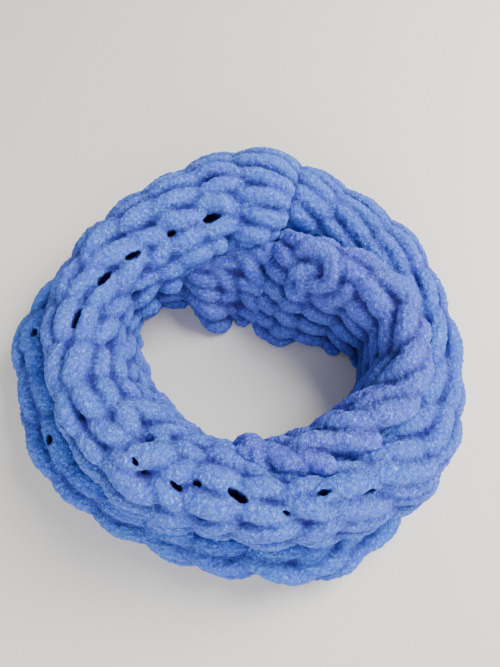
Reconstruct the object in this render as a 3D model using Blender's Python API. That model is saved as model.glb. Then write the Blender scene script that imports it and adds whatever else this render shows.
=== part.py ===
"""Chunky hand-knit neck warmer, lying slouched in a ring on a table.

One wide knitted rectangle has its two ends joined, so it forms a ring with a neck hole in the middle.
Its wales run round the ring. The fabric lies folded: an upper layer all round, an inner fold round the
neck hole, a lower layer outside at the front and the left, and hidden layers inside the roll.
Sizes are in millimetres, and turn angles run clockwise from the back, seen from above.
"""

import math
from dataclasses import dataclass

import bmesh
import bpy
import numpy as np
from mathutils import Matrix, Vector

MM = 0.001

# Driving dimensions of the knitting
STITCHES_ROUND = 24
WALE_WIDTH = 26.0
WALL_BACK = 6.0
LEG_FLAT = 0.08
SEAM_GAP = 0.35

STITCH_ANGLE = 360.0 / STITCHES_ROUND
SEAM_ANGLE = 15.0

# Points across a wale, and steps of the plain inside across a stitch
COLUMNS = 6
INSIDE_STEPS = 2
CORE_STEP = 10.0


@dataclass(frozen=True)
class StitchRow:
    """One line of points across a V stitch, from its base (0) to its top (1)."""

    along: float
    leg_spread: float
    leg_height: float
    middle_height: float
    side_height: float


# The legs of each V start close together on top of the stitch before, and sink as they spread.
STITCH_ROWS = (
    StitchRow(along=0.00, leg_spread=0.25, leg_height=3.0, middle_height=0.5, side_height=1.5),
    StitchRow(along=0.22, leg_spread=0.20, leg_height=6.5, middle_height=3.5, side_height=0.0),
    StitchRow(along=0.52, leg_spread=0.25, leg_height=6.3, middle_height=1.5, side_height=1.0),
    StitchRow(along=0.82, leg_spread=0.30, leg_height=4.6, middle_height=0.0, side_height=2.5),
)


@dataclass(frozen=True)
class Fold:
    """The middle of a layer in one upright plane through the centre of the ring.

    Each point is a radius and a height. The first is at the layer's outer edge.
    """

    angle: float
    outer_edge: tuple[float, float]
    outer_side: tuple[float, float]
    outer_shoulder: tuple[float, float]
    inner_shoulder: tuple[float, float]
    inner_side: tuple[float, float]
    inner_edge: tuple[float, float]

    def points(self):
        return (
            self.outer_edge,
            self.outer_side,
            self.outer_shoulder,
            self.inner_shoulder,
            self.inner_side,
            self.inner_edge,
        )


UPPER_LAYER = (
    Fold(15, (161, 10), (167, 38), (151, 66), (132, 78), (115, 74), (106, 60)),
    Fold(35, (158, 10), (165, 36), (150, 58), (132, 64), (117, 58), (107, 46)),
    Fold(60, (150, 10), (157, 34), (146, 54), (130, 57), (116, 50), (107, 39)),
    Fold(90, (138, 10), (146, 30), (138, 50), (125, 53), (114, 46), (108, 38)),
    Fold(108, (135, 10), (143, 31), (136, 52), (122, 58), (110, 52), (104, 44)),
    Fold(122, (133, 14), (140, 36), (130, 59), (116, 67), (103, 62), (98, 54)),
    Fold(138, (126, 34), (126, 54), (116, 70), (105, 76), (97, 70), (93, 57)),
    Fold(155, (117, 47), (115, 65), (105, 78), (95, 80), (87, 70), (83, 54)),
    Fold(172, (108, 50), (106, 68), (95, 81), (84, 81), (76, 70), (72, 54)),
    Fold(187, (104, 51), (102, 69), (89, 82), (72, 78), (59, 47), (56, 12)),
    Fold(205, (107, 51), (104, 69), (89, 82), (70, 77), (57, 46), (54, 12)),
    Fold(228, (110, 51), (107, 69), (91, 82), (70, 76), (57, 46), (53, 9)),
    Fold(250, (116, 50), (112, 70), (96, 82), (76, 74), (65, 44), (61, 9)),
    Fold(270, (122, 49), (118, 69), (102, 82), (83, 74), (74, 42), (70, 9)),
    Fold(290, (129, 47), (125, 68), (109, 82), (91, 76), (84, 48), (84, 16)),
    Fold(305, (134, 44), (129, 66), (114, 82), (97, 82), (85, 62), (82, 36)),
    Fold(320, (138, 36), (135, 60), (120, 80), (101, 85), (84, 75), (74, 54)),
    Fold(335, (146, 22), (147, 48), (133, 76), (111, 88), (88, 82), (70, 64)),
    Fold(350, (161, 11), (167, 38), (151, 68), (128, 87), (101, 86), (79, 69)),
    Fold(375, (168, 10), (174, 40), (157, 70), (133, 87), (107, 87), (87, 71)),
)

INNER_FOLD = (
    Fold(-60, (98, 56), (97, 46), (97, 37), (96, 28), (96, 18), (96, 8)),
    Fold(-45, (97, 56), (96, 47), (94, 38), (92, 28), (92, 18), (92, 8)),
    Fold(-34, (97, 55), (93, 48), (88, 40), (84, 30), (82, 20), (81, 8)),
    Fold(-25, (100, 54), (92, 52), (82, 46), (71, 35), (63, 22), (58, 9)),
    Fold(-8, (100, 59), (92, 57), (82, 50), (72, 38), (64, 24), (59, 9)),
    Fold(12, (91, 59), (86, 57), (78, 50), (68, 38), (59, 24), (52, 9)),
    Fold(34, (98, 69), (91, 76), (81, 73), (67, 57), (56, 32), (48, 9)),
    Fold(55, (105, 70), (101, 79), (92, 80), (78, 66), (67, 36), (60, 9)),
    Fold(68, (112, 69), (109, 80), (100, 82), (88, 67), (80, 38), (76, 9)),
    Fold(78, (116, 67), (113, 79), (104, 83), (96, 67), (92, 38), (91, 9)),
    Fold(95, (116, 66), (113, 78), (104, 82), (94, 67), (90, 38), (88, 9)),
    Fold(108, (110, 72), (107, 79), (98, 81), (87, 67), (82, 38), (79, 9)),
    Fold(122, (95, 76), (90, 78), (84, 76), (77, 66), (72, 38), (70, 9)),
    Fold(138, (83, 74), (79, 74), (74, 71), (68, 61), (65, 36), (63, 8)),
    Fold(155, (75, 70), (71, 69), (66, 64), (61, 54), (58, 33), (56, 9)),
    Fold(172, (55, 57), (55, 47), (56, 36), (57, 25), (60, 15), (66, 8)),
    Fold(184, (54, 55), (54, 45), (55, 34), (57, 23), (61, 14), (68, 8)),
)

LOWER_LAYER = (
    Fold(130, (141, 8), (138, 14), (129, 17), (122, 18), (117, 18), (112, 18)),
    Fold(141, (139, 8), (139, 18), (131, 23), (125, 24), (120, 24), (115, 23)),
    Fold(155, (131, 9), (138, 24), (130, 33), (120, 34), (112, 34), (106, 33)),
    Fold(180, (119, 9), (127, 26), (119, 36), (110, 37), (104, 36), (99, 35)),
    Fold(211, (114, 9), (122, 26), (115, 36), (106, 37), (100, 36), (95, 35)),
    Fold(238, (132, 9), (139, 26), (130, 36), (120, 37), (113, 36), (108, 35)),
    Fold(263, (141, 9), (148, 26), (140, 36), (130, 37), (123, 36), (118, 35)),
    Fold(285, (153, 9), (160, 25), (151, 35), (140, 36), (133, 35), (127, 34)),
    Fold(305, (152, 9), (157, 21), (149, 29), (139, 30), (132, 30), (127, 29)),
    Fold(320, (153, 8), (149, 16), (140, 20), (132, 21), (126, 21), (120, 20)),
    Fold(332, (145, 8), (141, 14), (133, 17), (126, 18), (120, 18), (114, 17)),
)


@dataclass(frozen=True)
class Roll:
    """The outline of the hidden layers in one upright plane, as radii and two heights."""

    angle: float
    hole_foot: float
    hole_side: float
    hole_top: float
    crown_height: float
    outer_top: float
    groove: float
    ledge_height: float
    outer_foot: float

    def outline(self):
        """The outline's points, from the floor at the neck hole over the top to the floor outside."""
        crown = 0.5 * (self.hole_top + self.outer_top)
        shoulder = 0.85 * self.crown_height
        above_ledge = shoulder - self.ledge_height
        return (
            (self.hole_foot + 3, 0.0),
            (self.hole_foot, 5.0),
            (self.hole_side, 0.5 * self.crown_height),
            (self.hole_top, shoulder),
            (crown, self.crown_height),
            (self.outer_top, shoulder),
            (self.outer_top, self.ledge_height + 0.6 * above_ledge),
            (self.groove, self.ledge_height + 0.3 * above_ledge),
            (self.groove, self.ledge_height),
            (self.outer_foot, self.ledge_height - 3.0),
            (self.outer_foot + 2, 6.0),
            (self.outer_foot - 1, 0.0),
        )


HIDDEN_LAYERS = (
    Roll(0, 68, 96, 124, 73, 140, 136, 22, 151),
    Roll(15, 62, 88, 116, 56, 138, 134, 22, 148),
    Roll(35, 60, 72, 86, 32, 134, 130, 12, 145),
    Roll(55, 72, 78, 88, 24, 132, 128, 10, 137),
    Roll(68, 88, 90, 94, 20, 128, 124, 9, 132),
    Roll(78, 98.0, 100, 102, 19, 124, 121, 9, 128),
    Roll(95, 96, 97, 100, 20, 122, 119, 9, 125),
    Roll(108, 87, 89, 94, 26, 118, 115, 11, 123),
    Roll(122, 78, 81, 88, 32, 107, 104, 9, 121),
    Roll(138, 72, 75, 79, 42, 97, 95, 9, 120),
    Roll(155, 67, 70, 77, 46, 98, 94, 20, 119),
    Roll(172, 73, 74, 79.3, 61, 97, 92, 25, 111),
    Roll(187, 76, 76, 80, 64, 94, 87, 27, 105),
    Roll(205, 64, 67, 78, 70, 94, 85, 28, 105.4),
    Roll(228, 62, 66, 79, 72, 97, 90, 28, 115),
    Roll(250, 70, 74, 84, 72, 102, 97, 28, 127),
    Roll(270, 79, 83, 92, 72, 108, 105, 28, 136),
    Roll(290, 96, 97, 101, 72, 116, 113, 26, 143),
    Roll(305, 105, 108, 113, 68, 119, 115, 15, 138),
    Roll(320, 98, 103, 117, 68, 123, 107, 7, 134),
    Roll(335, 82, 104, 122, 71, 131, 114, 8, 128),
)


@dataclass(frozen=True)
class Colour:
    """A linear RGB colour with its roughness."""

    red: float
    green: float
    blue: float
    roughness: float


PERIWINKLE = Colour(red=0.16, green=0.27, blue=0.68, roughness=0.95)
SHADED_PERIWINKLE = Colour(red=0.13, green=0.20, blue=0.55, roughness=0.95)


def smooth_path(at, places, values):
    """Values at some places along a smooth curve through given values."""
    places = np.asarray(places, float)
    values = np.asarray(values, float)
    slopes = np.gradient(values, places, axis=0)
    i = np.clip(np.searchsorted(places, at, side="right") - 1, 0, len(places) - 2)
    span = places[i + 1] - places[i]
    t = (at - places[i]) / span
    shape = (-1,) + (1,) * (values.ndim - 1)
    t = t.reshape(shape)
    span = span.reshape(shape)
    start = values[i] * (2 * t**3 - 3 * t**2 + 1) + slopes[i] * span * (t**3 - 2 * t**2 + t)
    end = values[i + 1] * (3 * t**2 - 2 * t**3) + slopes[i + 1] * span * (t**3 - t**2)
    return start + end


class Layer:
    """A layer of the fabric, as a smooth surface through its folds."""

    SECTION_POINTS = 81

    def __init__(self, folds, from_inner_edge=False):
        self.angles = [fold.angle for fold in folds]
        points = [fold.points() for fold in folds]
        self.points = [p[::-1] for p in points] if from_inner_edge else points
        # Wales are counted from the outer edge, or from the inner one.
        self.side = -1.0 if from_inner_edge else 1.0

    def section(self, angle):
        """The fold's middle line at one angle, and the distance along it of each point."""
        controls = smooth_path(np.array([angle]), self.angles, self.points)[0]
        steps = np.hypot(*np.diff(controls, axis=0).T)
        reach = np.concatenate([[0.0], np.cumsum(steps)])
        line = smooth_path(np.linspace(0, reach[-1], self.SECTION_POINTS), reach, controls)
        run = np.concatenate([[0.0], np.cumsum(np.hypot(*np.diff(line, axis=0).T))])
        return line, run

    def length(self, angle):
        return self.section(angle)[1][-1]

    def place(self, angle, distance):
        """The radius, height and outward normal (radial, up) at a distance along the fold."""
        line, run = self.section(angle)
        held = min(max(distance, 0.0), run[-1])
        radius = np.interp(held, run, line[:, 0])
        height = np.interp(held, run, line[:, 1])
        ahead = min(held + 1.5, run[-1])
        behind = max(ahead - 3.0, 0.0)
        along_radius = np.interp(ahead, run, line[:, 0]) - np.interp(behind, run, line[:, 0])
        along_height = np.interp(ahead, run, line[:, 1]) - np.interp(behind, run, line[:, 1])
        size = math.hypot(along_radius, along_height)
        along_radius /= size
        along_height /= size
        # Past its last point the fold goes straight on.
        radius += along_radius * (distance - held)
        height += along_height * (distance - held)
        return radius, height, along_height * self.side, -along_radius * self.side

    def point(self, angle, distance, lift):
        """The world point at a distance along the fold, moved out from its middle."""
        radius, height, out, up = self.place(angle, distance)
        turn = math.radians(angle)
        radius += out * lift
        return (
            radius * math.sin(turn) * MM,
            radius * math.cos(turn) * MM,
            (height + up * lift) * MM,
        )


def relief(row, column):
    """Where a point of a stitch line lies across the wale, and how high its yarn stands there."""
    leg_in = row.leg_spread - LEG_FLAT
    leg_out = row.leg_spread + LEG_FLAT
    return (
        (0.0, row.side_height),
        (0.5 - leg_out, row.leg_height),
        (0.5 - leg_in, row.leg_height),
        (0.5, row.middle_height),
        (0.5 + leg_in, row.leg_height),
        (0.5 + leg_out, row.leg_height),
    )[column]


def knitted_wall(name, layer, first_angle, last_angle, colour):
    """A closed wall of whole stitches between two angles, with raised V stitches on its outside."""
    stitches = round((last_angle - first_angle) / STITCH_ANGLE)
    step = (last_angle - first_angle) / stitches
    middles = [first_angle + (i + 0.5) * step for i in range(stitches)]
    wales = [max(1, round(layer.length(angle) / WALE_WIDTH)) for angle in middles]
    lines = len(STITCH_ROWS)
    mesh = bmesh.new()
    outer = {}
    inner = {}

    def outer_point(i, j):
        """The outer vertex on stitch line i and column j."""
        if (i, j) not in outer:
            # Each stitch has its base at its far end, as the knitting runs against the turn.
            stitch, line = divmod(-i, lines)
            row = STITCH_ROWS[line]
            across, height = relief(row, j % COLUMNS)
            angle = first_angle - (stitch + row.along) * step
            distance = (j // COLUMNS + across) * WALE_WIDTH
            outer[i, j] = mesh.verts.new(layer.point(angle, distance, height))
        return outer[i, j]

    def inner_point(i, j):
        """The plain inner vertex at step i round and step j across."""
        if (i, j) not in inner:
            angle = first_angle + i * step / INSIDE_STEPS
            distance = j * WALE_WIDTH / INSIDE_STEPS
            inner[i, j] = mesh.verts.new(layer.point(angle, distance, -WALL_BACK))
        return inner[i, j]

    def squares(point, rows, columns):
        """Fills a block of the grid of one side with four-sided faces."""
        for a in rows:
            for b in columns:
                corners = ((a, b), (a, b + 1), (a + 1, b + 1), (a + 1, b))
                mesh.faces.new([point(*corner) for corner in corners])

    def rim(outer_edge, inner_edge):
        """Closes the wall along one side of a stitch."""
        loop = [outer_point(*at) for at in outer_edge]
        loop += [inner_point(*at) for at in reversed(inner_edge)]
        mesh.faces.new(loop)

    def empty(i, j):
        return not (0 <= i < stitches and 0 <= j < wales[i])

    for i in range(stitches):
        outer_rows = range(i * lines, (i + 1) * lines)
        inner_rows = range(i * INSIDE_STEPS, (i + 1) * INSIDE_STEPS)
        for j in range(wales[i]):
            outer_columns = range(j * COLUMNS, (j + 1) * COLUMNS)
            inner_columns = range(j * INSIDE_STEPS, (j + 1) * INSIDE_STEPS)
            squares(outer_point, outer_rows, outer_columns)
            squares(inner_point, inner_rows, inner_columns)
            for side in (0, 1):
                if empty(i, j - 1 + 2 * side):
                    rim(
                        [(a, (j + side) * COLUMNS) for a in (*outer_rows, (i + 1) * lines)],
                        [(a, (j + side) * INSIDE_STEPS) for a in (*inner_rows, (i + 1) * INSIDE_STEPS)],
                    )
                if empty(i - 1 + 2 * side, j):
                    rim(
                        [((i + side) * lines, b) for b in (*outer_columns, (j + 1) * COLUMNS)],
                        [((i + side) * INSIDE_STEPS, b) for b in (*inner_columns, (j + 1) * INSIDE_STEPS)],
                    )
    mesh.normal_update()
    bmesh.ops.triangulate(mesh, faces=[face for face in mesh.faces if len(face.verts) > 4])
    return finished(name, mesh, colour)


def hidden_roll(name, rolls, colour):
    """The hidden layers as one closed ring through the roll outlines, flat underneath."""
    angles = [roll.angle for roll in rolls]
    outlines = [roll.outline() for roll in rolls]
    # The last two rows come again before the first, and the first two after the last.
    angles = [a - 360 for a in angles[-2:]] + angles + [a + 360 for a in angles[:2]]
    outlines = outlines[-2:] + outlines + outlines[:2]
    stations = round(360 / CORE_STEP)
    mesh = bmesh.new()
    rings = []
    for i in range(stations):
        angle = i * CORE_STEP
        turn = math.radians(angle)
        outline = smooth_path(np.array([float(angle)]), angles, outlines)[0]
        ring = [
            mesh.verts.new((r * math.sin(turn) * MM, r * math.cos(turn) * MM, z * MM))
            for r, z in outline
        ]
        rings.append(ring)
    for i in range(stations):
        here = rings[i]
        there = rings[(i + 1) % stations]
        for j in range(len(here)):
            k = (j + 1) % len(here)
            mesh.faces.new((here[j], here[k], there[k], there[j]))
    return finished(name, mesh, colour)


def finished(name, mesh, colour):
    """Turns a bmesh into an object of its own with a plain material."""
    bmesh.ops.recalc_face_normals(mesh, faces=mesh.faces)
    data = bpy.data.meshes.new(name)
    mesh.to_mesh(data)
    mesh.free()
    material = bpy.data.materials.new(name + "_yarn")
    material.use_nodes = True
    shader = material.node_tree.nodes["Principled BSDF"]
    shader.inputs["Base Color"].default_value = (colour.red, colour.green, colour.blue, 1.0)
    shader.inputs["Roughness"].default_value = colour.roughness
    shader.inputs["Metallic"].default_value = 0.0
    material.diffuse_color = (colour.red, colour.green, colour.blue, 1.0)
    data.materials.append(material)
    obj = bpy.data.objects.new(name, data)
    bpy.context.scene.collection.objects.link(obj)
    return obj


def centre_on_base(objects):
    """Moves the whole garment so that the origin is at the middle of its bounds, on the table."""
    corners = np.array([vertex.co[:] for obj in objects for vertex in obj.data.vertices])
    low = corners.min(axis=0)
    high = corners.max(axis=0)
    middle = Vector((0.5 * (low[0] + high[0]), 0.5 * (low[1] + high[1]), low[2]))
    for obj in objects:
        obj.data.transform(Matrix.Translation(-middle))


def clear_scene():
    for obj in list(bpy.data.objects):
        bpy.data.objects.remove(obj)


def main():
    clear_scene()
    upper = Layer(UPPER_LAYER)
    inner = Layer(INNER_FOLD, from_inner_edge=True)
    lower = Layer(LOWER_LAYER)
    gap = math.degrees(SEAM_GAP / 2 / 50.0)
    garment = [
        knitted_wall("upper_layer", upper, SEAM_ANGLE + gap, SEAM_ANGLE + 360 - gap, PERIWINKLE),
        knitted_wall("inner_fold_back", inner, -60.0, SEAM_ANGLE - gap, PERIWINKLE),
        knitted_wall("inner_fold_right", inner, SEAM_ANGLE + gap, 180.0 - 2 * gap, PERIWINKLE),
        knitted_wall("lower_layer", lower, 135.0, 330.0, SHADED_PERIWINKLE),
        hidden_roll("hidden_layers", HIDDEN_LAYERS, SHADED_PERIWINKLE),
    ]
    centre_on_base(garment)


main()
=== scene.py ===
"""Looks of a chunky chenille neck warmer, lying slouched in a ring on a plain pale table.

Each layer of the fabric is knitted here loop by loop: the yarn's centre line follows real stocking stitch,
laid on the same folds as the solids, and a fine surface is drawn round all of it. Sizes are in millimetres
until a mesh is made. Turn angles run clockwise from the back, seen from above.
"""

import logging
import math
from dataclasses import dataclass
from enum import Enum
from functools import cached_property

import bpy
import numpy as np
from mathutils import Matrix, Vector


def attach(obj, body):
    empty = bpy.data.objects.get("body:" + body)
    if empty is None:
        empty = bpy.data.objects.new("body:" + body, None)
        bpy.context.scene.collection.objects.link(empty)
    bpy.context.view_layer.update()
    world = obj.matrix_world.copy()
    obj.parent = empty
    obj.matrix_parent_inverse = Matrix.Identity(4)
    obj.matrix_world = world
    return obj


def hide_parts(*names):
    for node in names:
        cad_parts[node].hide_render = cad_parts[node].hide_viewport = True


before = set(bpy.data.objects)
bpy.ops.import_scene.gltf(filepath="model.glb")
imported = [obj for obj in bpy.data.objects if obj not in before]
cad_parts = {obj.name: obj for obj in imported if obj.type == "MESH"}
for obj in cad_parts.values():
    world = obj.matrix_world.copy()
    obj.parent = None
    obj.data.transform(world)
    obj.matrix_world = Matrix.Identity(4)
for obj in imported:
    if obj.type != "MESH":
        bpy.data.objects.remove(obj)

MM = 0.001
RING_CENTRE = (4.5, -21.05)
STITCH_ANGLE = 15.0
STITCH_LENGTH = 28.0
# What the rolled yarn at a layer's two edges adds to its flat width.
ROLLED_EDGES = 14.0
# Yarn is cut off flat at this height where it rests on the table, and its pile stops a little lower.
REST_HEIGHT = 0.4
LOWEST_PILE = 0.3

# Rows of a turn angle in degrees and a value there.
Table = tuple[tuple[float, float], ...]
LEVEL: Table = ((0.0, 0.0), (1.0, 0.0))
EVEN: Table = ((0.0, 1.0), (1.0, 1.0))

LOG = logging.getLogger("neck_warmer")


class Hold(Enum):
    FOLDED = "folded"
    LAID = "laid"


@dataclass(frozen=True)
class Fold:
    """The middle of a layer in one upright plane through the ring's centre.

    The line's six points are radii and heights, from the outer edge over the shoulders to the inner edge.
    """

    angle: float
    line: Table


def folds(*rows: tuple[float, ...]) -> tuple[Fold, ...]:
    """Returns folds from rows of an angle and the line's numbers."""
    return tuple(Fold(row[0], tuple(zip(row[1::2], row[2::2]))) for row in rows)


UPPER_FOLDS = folds(
    (15, 161, 10, 167, 38, 151, 66, 132, 78, 115, 74, 106, 60),
    (35, 158, 10, 165, 36, 150, 58, 132, 64, 117, 58, 107, 46),
    (60, 150, 10, 157, 34, 146, 54, 130, 57, 116, 50, 107, 39),
    (90, 138, 10, 146, 30, 138, 50, 125, 53, 114, 46, 108, 38),
    (108, 135, 10, 143, 31, 136, 52, 122, 58, 110, 52, 104, 44),
    (122, 133, 14, 140, 36, 130, 59, 116, 67, 103, 62, 98, 54),
    (138, 126, 34, 126, 54, 116, 70, 105, 76, 97, 70, 93, 57),
    (155, 117, 47, 115, 65, 105, 78, 95, 80, 87, 70, 83, 54),
    (172, 108, 50, 106, 68, 95, 81, 84, 81, 76, 70, 72, 54),
    (187, 104, 51, 102, 69, 89, 82, 72, 78, 59, 47, 56, 12),
    (205, 107, 51, 104, 69, 89, 82, 70, 77, 57, 46, 54, 12),
    (228, 110, 51, 107, 69, 91, 82, 70, 76, 57, 46, 53, 9),
    (250, 116, 50, 112, 70, 96, 82, 76, 74, 65, 44, 61, 9),
    (270, 122, 49, 118, 69, 102, 82, 83, 74, 74, 42, 70, 9),
    (290, 129, 47, 125, 68, 109, 82, 91, 76, 84, 48, 84, 16),
    (305, 134, 44, 129, 66, 114, 82, 97, 82, 85, 62, 82, 36),
    (320, 138, 36, 135, 60, 120, 80, 101, 85, 84, 75, 74, 54),
    (335, 146, 22, 147, 48, 133, 76, 111, 88, 88, 82, 70, 64),
    (350, 161, 11, 167, 38, 151, 68, 128, 87, 101, 86, 79, 69),
    (375, 168, 10, 174, 40, 157, 70, 133, 87, 107, 87, 87, 71),
)

INNER_FOLDS = folds(
    (-60, 98, 56, 97, 46, 97, 37, 96, 28, 96, 18, 96, 8),
    (-45, 97, 56, 96, 47, 94, 38, 92, 28, 92, 18, 92, 8),
    (-34, 97, 55, 93, 48, 88, 40, 84, 30, 82, 20, 81, 8),
    (-25, 100, 54, 92, 52, 82, 46, 71, 35, 63, 22, 58, 9),
    (-8, 100, 59, 92, 57, 82, 50, 72, 38, 64, 24, 59, 9),
    (12, 91, 59, 86, 57, 78, 50, 68, 38, 59, 24, 52, 9),
    (34, 98, 69, 91, 76, 81, 73, 67, 57, 56, 32, 48, 9),
    (55, 105, 70, 101, 79, 92, 80, 78, 66, 67, 36, 60, 9),
    (68, 112, 69, 109, 80, 100, 82, 88, 67, 80, 38, 76, 9),
    (78, 116, 67, 113, 79, 104, 83, 96, 67, 92, 38, 91, 9),
    (95, 116, 66, 113, 78, 104, 82, 94, 67, 90, 38, 88, 9),
    (108, 110, 72, 107, 79, 98, 81, 87, 67, 82, 38, 79, 9),
    (122, 95, 76, 90, 78, 84, 76, 77, 66, 72, 38, 70, 9),
    (138, 83, 74, 79, 74, 74, 71, 68, 61, 65, 36, 63, 8),
    (155, 75, 70, 71, 69, 66, 64, 61, 54, 58, 33, 56, 9),
    (172, 55, 57, 55, 47, 56, 36, 57, 25, 60, 15, 66, 8),
    (184, 54, 55, 54, 45, 55, 34, 57, 23, 61, 14, 68, 8),
)

LOWER_FOLDS = folds(
    (130, 141, 8, 138, 14, 129, 17, 122, 18, 117, 18, 112, 18),
    (141, 139, 8, 139, 18, 131, 23, 125, 24, 120, 24, 115, 23),
    (155, 131, 9, 138, 24, 130, 33, 120, 34, 112, 34, 106, 33),
    (180, 119, 9, 127, 26, 119, 36, 110, 37, 104, 36, 99, 35),
    (211, 114, 9, 122, 26, 115, 36, 106, 37, 100, 36, 95, 35),
    (238, 132, 9, 139, 26, 130, 36, 120, 37, 113, 36, 108, 35),
    (263, 141, 9, 148, 26, 140, 36, 130, 37, 123, 36, 118, 35),
    (285, 153, 9, 160, 25, 151, 35, 140, 36, 133, 35, 127, 34),
    (305, 152, 9, 157, 21, 149, 29, 139, 30, 132, 30, 127, 29),
    (320, 153, 8, 149, 16, 140, 20, 132, 21, 126, 21, 120, 20),
    (332, 145, 8, 141, 14, 133, 17, 126, 18, 120, 18, 114, 17),
)


def smooth_path(at: np.ndarray, places: np.ndarray, values: np.ndarray) -> np.ndarray:
    """Reads values along a smooth curve through given values.

    Args:
        at: The places to read.
        places: The places of the given values, in rising order.
        values: The given values, one row a place.

    Returns:
        One row of values for each place read.
    """
    slopes = np.gradient(values, places, axis=0)
    i = np.clip(np.searchsorted(places, at, side="right") - 1, 0, len(places) - 2)
    shape = (-1,) + (1,) * (values.ndim - 1)
    gap = places[i + 1] - places[i]
    span = gap.reshape(shape)
    t = ((at - places[i]) / gap).reshape(shape)
    start = values[i] * (2 * t**3 - 3 * t**2 + 1) + slopes[i] * span * (t**3 - 2 * t**2 + t)
    end = values[i + 1] * (3 * t**2 - 2 * t**3) + slopes[i + 1] * span * (t**3 - t**2)
    return start + end


def read_table(table: Table, at: np.ndarray | float) -> np.ndarray:
    """Returns a table's values at the given angles, by straight lines between its rows."""
    return np.interp(at, *np.array(table, float).T)


def distances(line: np.ndarray) -> np.ndarray:
    """Returns how far along a flat line each of its points lies."""
    return np.concatenate([[0.0], np.cumsum(np.hypot(*np.diff(line, axis=0).T))])


class FoldedSurface:
    """The middle surface of one layer, read by turn angle, distance across the fold and lift off it."""

    ANGLE_STEP = 1.25
    REACH_STEP = 1.5
    LOWEST_REACH = -24.0
    HIGHEST_REACH = 190.0
    LINE_POINTS = 121

    def __init__(self, layer_folds: tuple[Fold, ...], from_inner_edge: bool) -> None:
        """Tabulates the folds' radius and height.

        Args:
            layer_folds: The layer's folds, by rising angle.
            from_inner_edge: Whether distance runs from the inner edge outwards.
        """
        places = np.array([fold.angle for fold in layer_folds], float)
        points = np.array([fold.line for fold in layer_folds], float)
        if from_inner_edge:
            points = points[:, ::-1]
        self.side = -1.0 if from_inner_edge else 1.0
        count = int(round((places[-1] - places[0]) / self.ANGLE_STEP)) + 1
        self.angles = np.linspace(places[0], places[-1], count)
        controls = smooth_path(self.angles, places, points)
        self.reaches = np.arange(self.LOWEST_REACH, self.HIGHEST_REACH, self.REACH_STEP)
        self.table = np.zeros((count, len(self.reaches), 2))
        self.lengths = np.zeros(count)
        for k, control in enumerate(controls):
            steps = distances(control)
            line = smooth_path(np.linspace(0, steps[-1], self.LINE_POINTS), steps, control)
            run = distances(line)
            self.lengths[k] = run[-1]
            held = np.clip(self.reaches, 0.0, run[-1])
            over = (self.reaches - held)[:, None]
            inside = np.stack([np.interp(held, run, line[:, c]) for c in (0, 1)], axis=1)
            start = (line[3] - line[0]) / np.hypot(*(line[3] - line[0]))
            end = (line[-1] - line[-4]) / np.hypot(*(line[-1] - line[-4]))
            self.table[k] = inside + np.where(over < 0, start, end) * over

    def length(self, angle: np.ndarray) -> np.ndarray:
        """Returns the fold's length in millimetres at each angle."""
        return np.interp(angle, self.angles, self.lengths)

    def middle(self, angle: np.ndarray, reach: np.ndarray) -> np.ndarray:
        """Reads world points on the middle surface.

        Args:
            angle: Turn angles in degrees.
            reach: Distances across the fold in millimetres.

        Returns:
            World points in millimetres.
        """
        angle_step = self.angles[1] - self.angles[0]
        a = np.clip((angle - self.angles[0]) / angle_step, 0, len(self.angles) - 1.001)
        b = np.clip((reach - self.reaches[0]) / self.REACH_STEP, 0, len(self.reaches) - 1.001)
        i, j = a.astype(int), b.astype(int)
        fa, fb = (a - i)[:, None], (b - j)[:, None]
        table = self.table
        flat = (table[i, j] * (1 - fa) + table[i + 1, j] * fa) * (1 - fb)
        flat = flat + (table[i, j + 1] * (1 - fa) + table[i + 1, j + 1] * fa) * fb
        turn = np.radians(angle)
        x = flat[:, 0] * np.sin(turn) + RING_CENTRE[0]
        y = flat[:, 0] * np.cos(turn) + RING_CENTRE[1]
        return np.stack([x, y, flat[:, 1]], axis=1)

    def at(self, angle: np.ndarray, reach: np.ndarray, lift: np.ndarray) -> np.ndarray:
        """Reads world points off the surface.

        Args:
            angle: Turn angles in degrees.
            reach: Distances across the fold in millimetres.
            lift: Distances out from the middle surface in millimetres.

        Returns:
            World points in millimetres.
        """
        here = self.middle(angle, reach)
        across = self.middle(angle, reach + 2.0) - self.middle(angle, reach - 2.0)
        along = self.middle(angle + 1.0, reach) - self.middle(angle - 1.0, reach)
        out = np.cross(along, across) * self.side
        out /= np.linalg.norm(out, axis=1)[:, None] + 1e-9
        return here - out * lift[:, None]


@dataclass(frozen=True)
class Slit:
    """A gap where two strands lie apart, with its half length and half width in millimetres."""

    angle: float
    reach: float
    long: float = 5.5
    wide: float = 2.6
    slant: float = 0.0

    def pushed(self, angle: np.ndarray, reach: np.ndarray) -> np.ndarray:
        """Finds how far the strands beside the gap bend away from it.

        Args:
            angle: The strands' turn angles in degrees.
            reach: Their distances across the fold in millimetres.

        Returns:
            Their moves across the fold in millimetres.
        """
        push_turn, push_reach, push_share = 0.42 * STITCH_ANGLE, 13.0, 0.9
        across = reach - self.reach
        along = (angle - self.angle) / push_turn
        push = push_share * self.wide * np.exp(-(along**2)) * np.exp(-((across / push_reach) ** 2))
        return np.sign(across) * push


@dataclass(frozen=True)
class Curl:
    """A loose loop of yarn by the seam, as turn angles and reaches along it, and its lift off the fabric."""

    places: tuple[tuple[float, float], ...]
    lift: float
    radius: float = 6.4


@dataclass(frozen=True)
class YarnBalls:
    """Points along the yarn with the yarn's radius at each."""

    centres: np.ndarray
    radii: np.ndarray

    @staticmethod
    def gathered(parts: "list[YarnBalls]") -> "YarnBalls":
        """Returns several strands' balls as one."""
        centres = np.concatenate([part.centres for part in parts])
        return YarnBalls(centres, np.concatenate([part.radii for part in parts]))


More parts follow.
